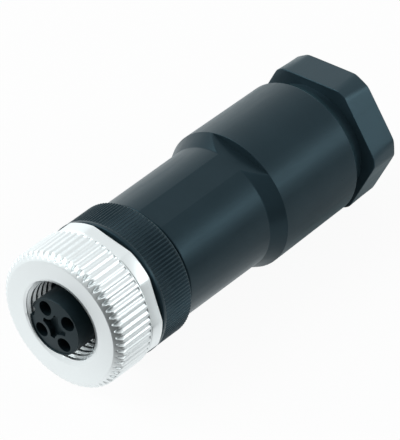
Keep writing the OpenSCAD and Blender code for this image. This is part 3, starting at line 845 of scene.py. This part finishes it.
class CONNECTOR_OT_sleeve(bpy.types.Operator):
    """Build the cable sleeve with its shoulder and flat"""
    bl_idname = "connector.sleeve"
    bl_label = "Cable sleeve"

    def execute(self, context):
        sizes = in_mm(context.scene.m12.sleeve)
        shape = Shape()
        self.body(shape, sizes)
        piece(shape.mesh("cable_sleeve_detail", 30), "sleeve", ["cable_sleeve"],
              black_plastic())
        return {"FINISHED"}

    def body(self, shape, sizes):
        """A cylinder, a conical shoulder and a barrel that tapers to a rounded edge. In front the
        radius is the lower of that and of the flat's plane, which is flat / cos(a)."""
        front, rear = station("cable_sleeve", 0), station("cable_sleeve", 1)
        narrow, wide = sizes.front_radius, half_height("cable_sleeve")
        cone0 = front + sizes.shoulder_at
        cone1 = cone0 + sizes.shoulder_length
        flat, middle = sizes.flat_radius, sizes.flat_angle
        # Even angles, and the flat's two edges
        edge = math.acos(flat / narrow)
        around = np.concatenate((circle(720)[0], (middle + np.array([-edge, edge])) % TURN))
        around = np.unique(np.round(around, 6))[None, :]
        off = (around - middle + math.pi) % TURN - math.pi
        reach = 1.2
        plane = np.where(np.abs(off) < reach, flat / np.cos(np.clip(off, -reach, reach)), OUTSIDE)

        cone = np.linspace(cone0, cone1, 20)
        lead = 0.18
        x = column(front, front + 0.03, front + 0.1, front + lead, front + 0.25, cone0 - 0.08, cone)
        profile = column(narrow - lead, narrow - 0.10, narrow - 0.03, narrow, narrow, narrow,
                         narrow + (wide - narrow) * (cone - cone0) / (cone1 - cone0))
        head = np.minimum(profile, plane - np.clip(front + lead - x, 0, 1))
        fillet, taper = sizes.rear_round, sizes.taper
        end, a = wide - taper, quarter(6)
        barrel = (column(cone1 + 0.01, cone1 + 0.06, cone1 + 0.3, (cone1 + rear) / 2,
                         rear - fillet - 0.05, rear - fillet + fillet * np.sin(a)),
                  column(wide - 0.03, wide, wide, wide - taper / 2, end,
                         end - fillet + fillet * np.cos(a)))
        seal, seat = half_height("sleeve_seal") + RUNNING_GAP, station("sleeve_seal", 1) + 0.15
        # The bore that screws onto the spigot, the wire chamber, the web behind it, and the gland
        joint, joint_end, chamber, web_bore, gland = 7.55, front + 6.65, 7.4, 5.0, 8.05
        stop = station("clamping_cage", 0) - 0.2
        web = stop - 1.2
        inner = line([[rear, gland + 0.35], [rear - 0.35, gland], [stop, gland],
                      [stop, web_bore], [web, web_bore], [web, chamber], [joint_end, chamber],
                      [joint_end, joint], [seat, joint], [seat, seal], [front + 0.1, seal],
                      [front, seal + 0.1]])
        shape.skin(around, (x, head), barrel, inner)


class CONNECTOR_OT_nut(bpy.types.Operator):
    """Build the hexagonal pressing nut and its threaded shank"""
    bl_idname = "connector.nut"
    bl_label = "Pressing nut"

    def execute(self, context):
        sizes = in_mm(context.scene.m12.nut)
        shape = Shape()
        self.head(shape, sizes)
        self.shank(shape, sizes)
        # The nut's plastic is the shell's, made glossier and lightened 1.3 times as painted light for
        # its brighter flats
        piece(shape.mesh("pressing_nut_detail", 34), "nut", ["pressing_nut"],
              black_plastic("satin_nut_plastic", gain=1.3, gloss=0.45))
        return {"FINISHED"}

    def head(self, shape, sizes):
        """A round collar that dips to a neck along (1 - f)^2, then the hexagon: the lower of its
        flats and of its bevelled corners at each angle, with rounded creases and ends."""
        rear, flats = station("pressing_nut", 1), sizes.flat_radius
        hexagon = rear - sizes.hex_length
        front = hexagon - sizes.collar_length
        lip, neck = flats - sizes.collar_step, flats - sizes.neck_step
        around, a, dip = circle(720), quarter(6), np.linspace(0, 1, 8)
        collar = (column(front, front + 0.04, front + 0.12,
                         front + 0.2 + (hexagon - 0.3 - front) * dip, hexagon),
                  column(lip - 0.12, lip - 0.05, lip, neck + (lip - neck) * (1 - dip) ** 2, neck))

        fillet, gap = sizes.edge_round, 0.06
        x = column(hexagon, hexagon + fillet - fillet * np.cos(a), hexagon + fillet + gap,
                   rear - fillet - gap, rear - fillet + fillet * np.sin(a))
        drop = column(fillet + gap, fillet - fillet * np.sin(a), 0, 0, fillet - fillet * np.cos(a))
        lean = math.tan(sizes.bevel_slope) * ((hexagon + rear) / 2 - x)
        corner = flats + sizes.bevel_extra + lean
        side = soft_min(prism_radius(around, flats, sizes.flat_angle),
                        prism_radius(around, corner, sizes.flat_angle + TURN / 12), 0.16)
        bore, shank, overlap = sizes.entry_radius, 7.0, front - 1.0
        inner = line([[rear, bore + 0.6], [rear - 0.08, bore + 0.42], [rear - 0.5, bore],
                      [overlap, bore], [overlap, shank], [front, shank]])
        shape.skin(around, collar, (x, side - drop), inner)

    def shank(self, shape, sizes):
        """The hollow shank with its thread, and the cone that closes the cage's fingers."""
        x0 = station("pressing_nut", 0)
        x1 = station("pressing_nut", 1) - (sizes.hex_length + sizes.collar_length)
        crest, bore = sizes.thread_radius, sizes.entry_radius
        root, wide, narrow = crest - sizes.thread_depth, 6.38, 4.95
        x, r, around = thread_rows(x0 + 0.02, x1 - 1.3, crest, root, REAR_PITCH, root, run_in=0.4)
        cone0, cone1, overlap = x0 + 3.0, x0 + 7.0, x1 + 0.3
        wall = line([[overlap, root], [overlap, bore], [cone1, bore], [cone1, narrow],
                     [cone0, wide], [x0 + 0.1, wide], [x0, wide + 0.12], [x0, root - 0.05]])
        shape.skin(around, (x, r), wall, seam=False)


class CONNECTOR_OT_fittings(bpy.types.Operator):
    """Finish the contacts, terminals, seals and the gland's cage"""
    bl_idname = "connector.fittings"
    bl_label = "Inner fittings"

    def execute(self, context):
        # Each finish, and how the names of the frame's nodes start that take it
        for finish, *starts in (
                (plated_metal("gold"), "contact_1", "contact_2", "contact_3", "contact_4"),
                (plated_metal("terminal"), "terminal_block"),
                (plated_metal("steel"), "clamp_plate", "terminal_screw", "retaining_ring"),
                (seal_rubber(), "face_seal", "sleeve_seal", "cable_grommet"),
                (insert_plastic(), "terminal_carrier"),
                (black_plastic(), "flange_bush", "clamping_cage")):
            for node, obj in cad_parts.items():
                if node.startswith(tuple(starts)):
                    obj.data.materials.clear()
                    obj.data.materials.append(finish)
        return {"FINISHED"}


# ---- stage

def looking(spot, side, back):
    """The matrix of a lamp or camera at a spot, with its right side and its back towards ways."""
    return Matrix.Translation(spot) @ Matrix((side, back.cross(side), back)).transposed().to_4x4()


class CONNECTOR_OT_stage(bpy.types.Operator):
    """Set up the floor, the lights, the world and the camera"""
    bl_idname = "connector.stage"
    bl_label = "Stage"
    tint = (0.95, 1.0, 1.0)
    # Each light's name, the way to it, its distance, length and height in metres, and its
    # brightness, where 1 is white
    lamps = (("key", (-0.45, 0.55, 0.70), 0.60, 0.50, 0.50, 3.2),
             ("strip", (0.615, -0.694, 0.372), 0.60, 0.60, 0.16, 3.0),
             ("back", (0.615, 0.757, 0.15), 0.70, 0.90, 0.35, 0.35))

    def execute(self, context):
        sizes = context.scene.m12.stage
        low, high = map(Vector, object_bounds())
        centre = (low + high) / 2
        self.floor(centre, low.z)
        self.lights(centre)
        self.world(context)
        self.camera(context, sizes)
        context.scene.view_settings.view_transform = "Standard"
        return {"FINISHED"}

    def floor(self, centre, level):
        """A broad pale floor just under the connector, mostly an even white to the camera. Glossy
        rays meet painted reflections in it: a dark floor on the camera's side, painted shade for the
        teeth of the ring's nose, a white one beside the mating end, a painted highlight for the ring's
        face, and a half-bright one near the ring."""
        reach = 3.0
        mesh = bpy.data.meshes.new("floor")
        mesh.from_pydata([(centre.x + a * reach, centre.y + b * reach, level) for a, b in
                          ((-1, -1), (1, -1), (1, 1), (-1, 1))], [], [(0, 1, 2, 3)])
        obj = linked("floor", mesh)
        made = bpy.data.materials.new("pale_floor")
        shader = Shader(made)
        card = shader.add("BsdfDiffuse", None, {"Color": (0.86, 0.86, 0.86, 1)})
        seen, gloss = shader.rays()
        place = shader.add("TexCoord", output="Object")
        # Painted reflections for glossy rays only: dark ahead on the camera's side as painted shade in
        # the nose's teeth, white beside the mating end as a painted highlight in the ring's face, half
        # bright near the ring
        ahead = place.towards((-0.63, -0.77, 0.0), 0.008, 0.020)
        beside = place.towards((-0.77, 0.64, 0.0), -0.035, -0.015)
        near = 1.0 - shader.split(place)[0].above(0.030, 0.045)
        glow = shader.add("Emission", None, {"Color": (1, 1, 1, 1), "Strength": 1.0 - gloss * ahead})
        painted_reflection_level = beside + (1.0 - beside) * near * 0.55
        share = seen * 0.94 + gloss * (ahead * 0.9 + (1.0 - ahead) * painted_reflection_level)
        both = shader.add("MixShader", None, {0: share, 1: card, 2: glow})
        shader.add("OutputMaterial", None, {"Surface": both})
        mesh.materials.append(made)
        obj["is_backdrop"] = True

    def lights(self, centre):
        """Soft area lights, each a rectangle that faces the connector, long side level."""
        for name, way, away, across, tall, level in self.lamps:
            way = Vector(way).normalized()
            lamp = bpy.data.lights.new(name, "AREA")
            lamp.shape, lamp.size, lamp.size_y = "RECTANGLE", across, tall
            lamp.energy = level * math.pi * across * tall
            lamp.color = self.tint
            level_side = Vector((0, 0, 1)).cross(way).normalized()
            linked(name, lamp).matrix_world = looking(centre + way * away, level_side, way)

    def world(self, context):
        """White to the camera and through glass, and a soft grey light otherwise. Gloss sees it
        brighter, most of all beyond the connector, and nearly black behind the camera."""
        world = bpy.data.worlds.new("studio")
        context.scene.world = world
        shader = Shader(world)
        seen, gloss = shader.rays()
        way = shader.add("TexCoord", output="Generated")
        beyond = way.towards((0.63, 0.77, 0.0), 0.2, 0.95)
        behind = way.towards((-0.75, -0.62, 0.2), 0.68, 0.86)
        soft = 0.40
        strength = soft + seen * (1.0 - soft) + gloss * (beyond * 0.15 + 0.35 - behind * 0.70)
        light = shader.add("Background", None, {"Color": (1, 1, 1, 1), "Strength": strength})
        shader.add("OutputWorld", None, {"Surface": light})

    def camera(self, context, sizes):
        """The camera looks along its back vector (sin a cos e, -cos a cos e, sin e) reversed, and
        stands so that the ring's face lies left of and below the view's centre."""
        a, e = sizes.azimuth, sizes.elevation
        back = Vector((math.sin(a) * math.cos(e), -math.cos(a) * math.cos(e), math.sin(e)))
        side = Vector((math.cos(a), math.sin(a), 0))
        face = Vector((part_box("coupling_ring")[0][0], 0, 0))
        rise = back.cross(side)
        spot = face + side * sizes.right + rise * sizes.up + back * sizes.distance
        data = bpy.data.cameras.new("camera")
        data.lens, data.sensor_width, data.sensor_fit = sizes.lens, 36, "AUTO"
        data.clip_end = 10
        context.scene.camera = linked("camera", data)
        context.scene.camera.matrix_world = looking(spot, side, back)


# ---- panel and registration

OPERATORS = (CONNECTOR_OT_ring, CONNECTOR_OT_insert, CONNECTOR_OT_collar, CONNECTOR_OT_sleeve,
             CONNECTOR_OT_nut, CONNECTOR_OT_fittings, CONNECTOR_OT_stage)


class CONNECTOR_PT_panel(bpy.types.Panel):
    """Sizes, colours and build steps of the connector"""
    bl_idname = "CONNECTOR_PT_panel"
    bl_label = "M12 connector"
    bl_space_type = "VIEW_3D"
    bl_region_type = "UI"
    bl_category = "Connector"

    def draw(self, context):
        settings = context.scene.m12
        for operator in OPERATORS:
            self.layout.operator(operator.bl_idname)
        for group in group_values(settings):
            box = self.layout.box()
            box.label(text=group.capitalize())
            values = getattr(settings, group)
            for name in group_values(values):
                box.prop(values, name, text=name.replace("_", " ").capitalize())


CLASSES = (RingSizes, InsertSizes, CollarSizes, SleeveSizes, NutSizes, Finishes, StageSizes,
           ConnectorSettings, *OPERATORS, CONNECTOR_PT_panel)


def register():
    """Registers the add-on, and gives each scene its settings."""
    for kind in CLASSES:
        bpy.utils.register_class(kind)
    bpy.types.Scene.m12 = bpy.props.PointerProperty(type=ConnectorSettings)


def unregister():
    """Takes the settings and the add-on out again."""
    del bpy.types.Scene.m12
    for kind in reversed(CLASSES):
        bpy.utils.unregister_class(kind)


def main():
    """Builds every piece."""
    register()
    bpy.ops.connector.ring()
    bpy.ops.connector.insert()
    bpy.ops.connector.collar()
    bpy.ops.connector.sleeve()
    bpy.ops.connector.nut()
    bpy.ops.connector.fittings()
    bpy.ops.connector.stage()


if __name__ == "__main__":
    main()
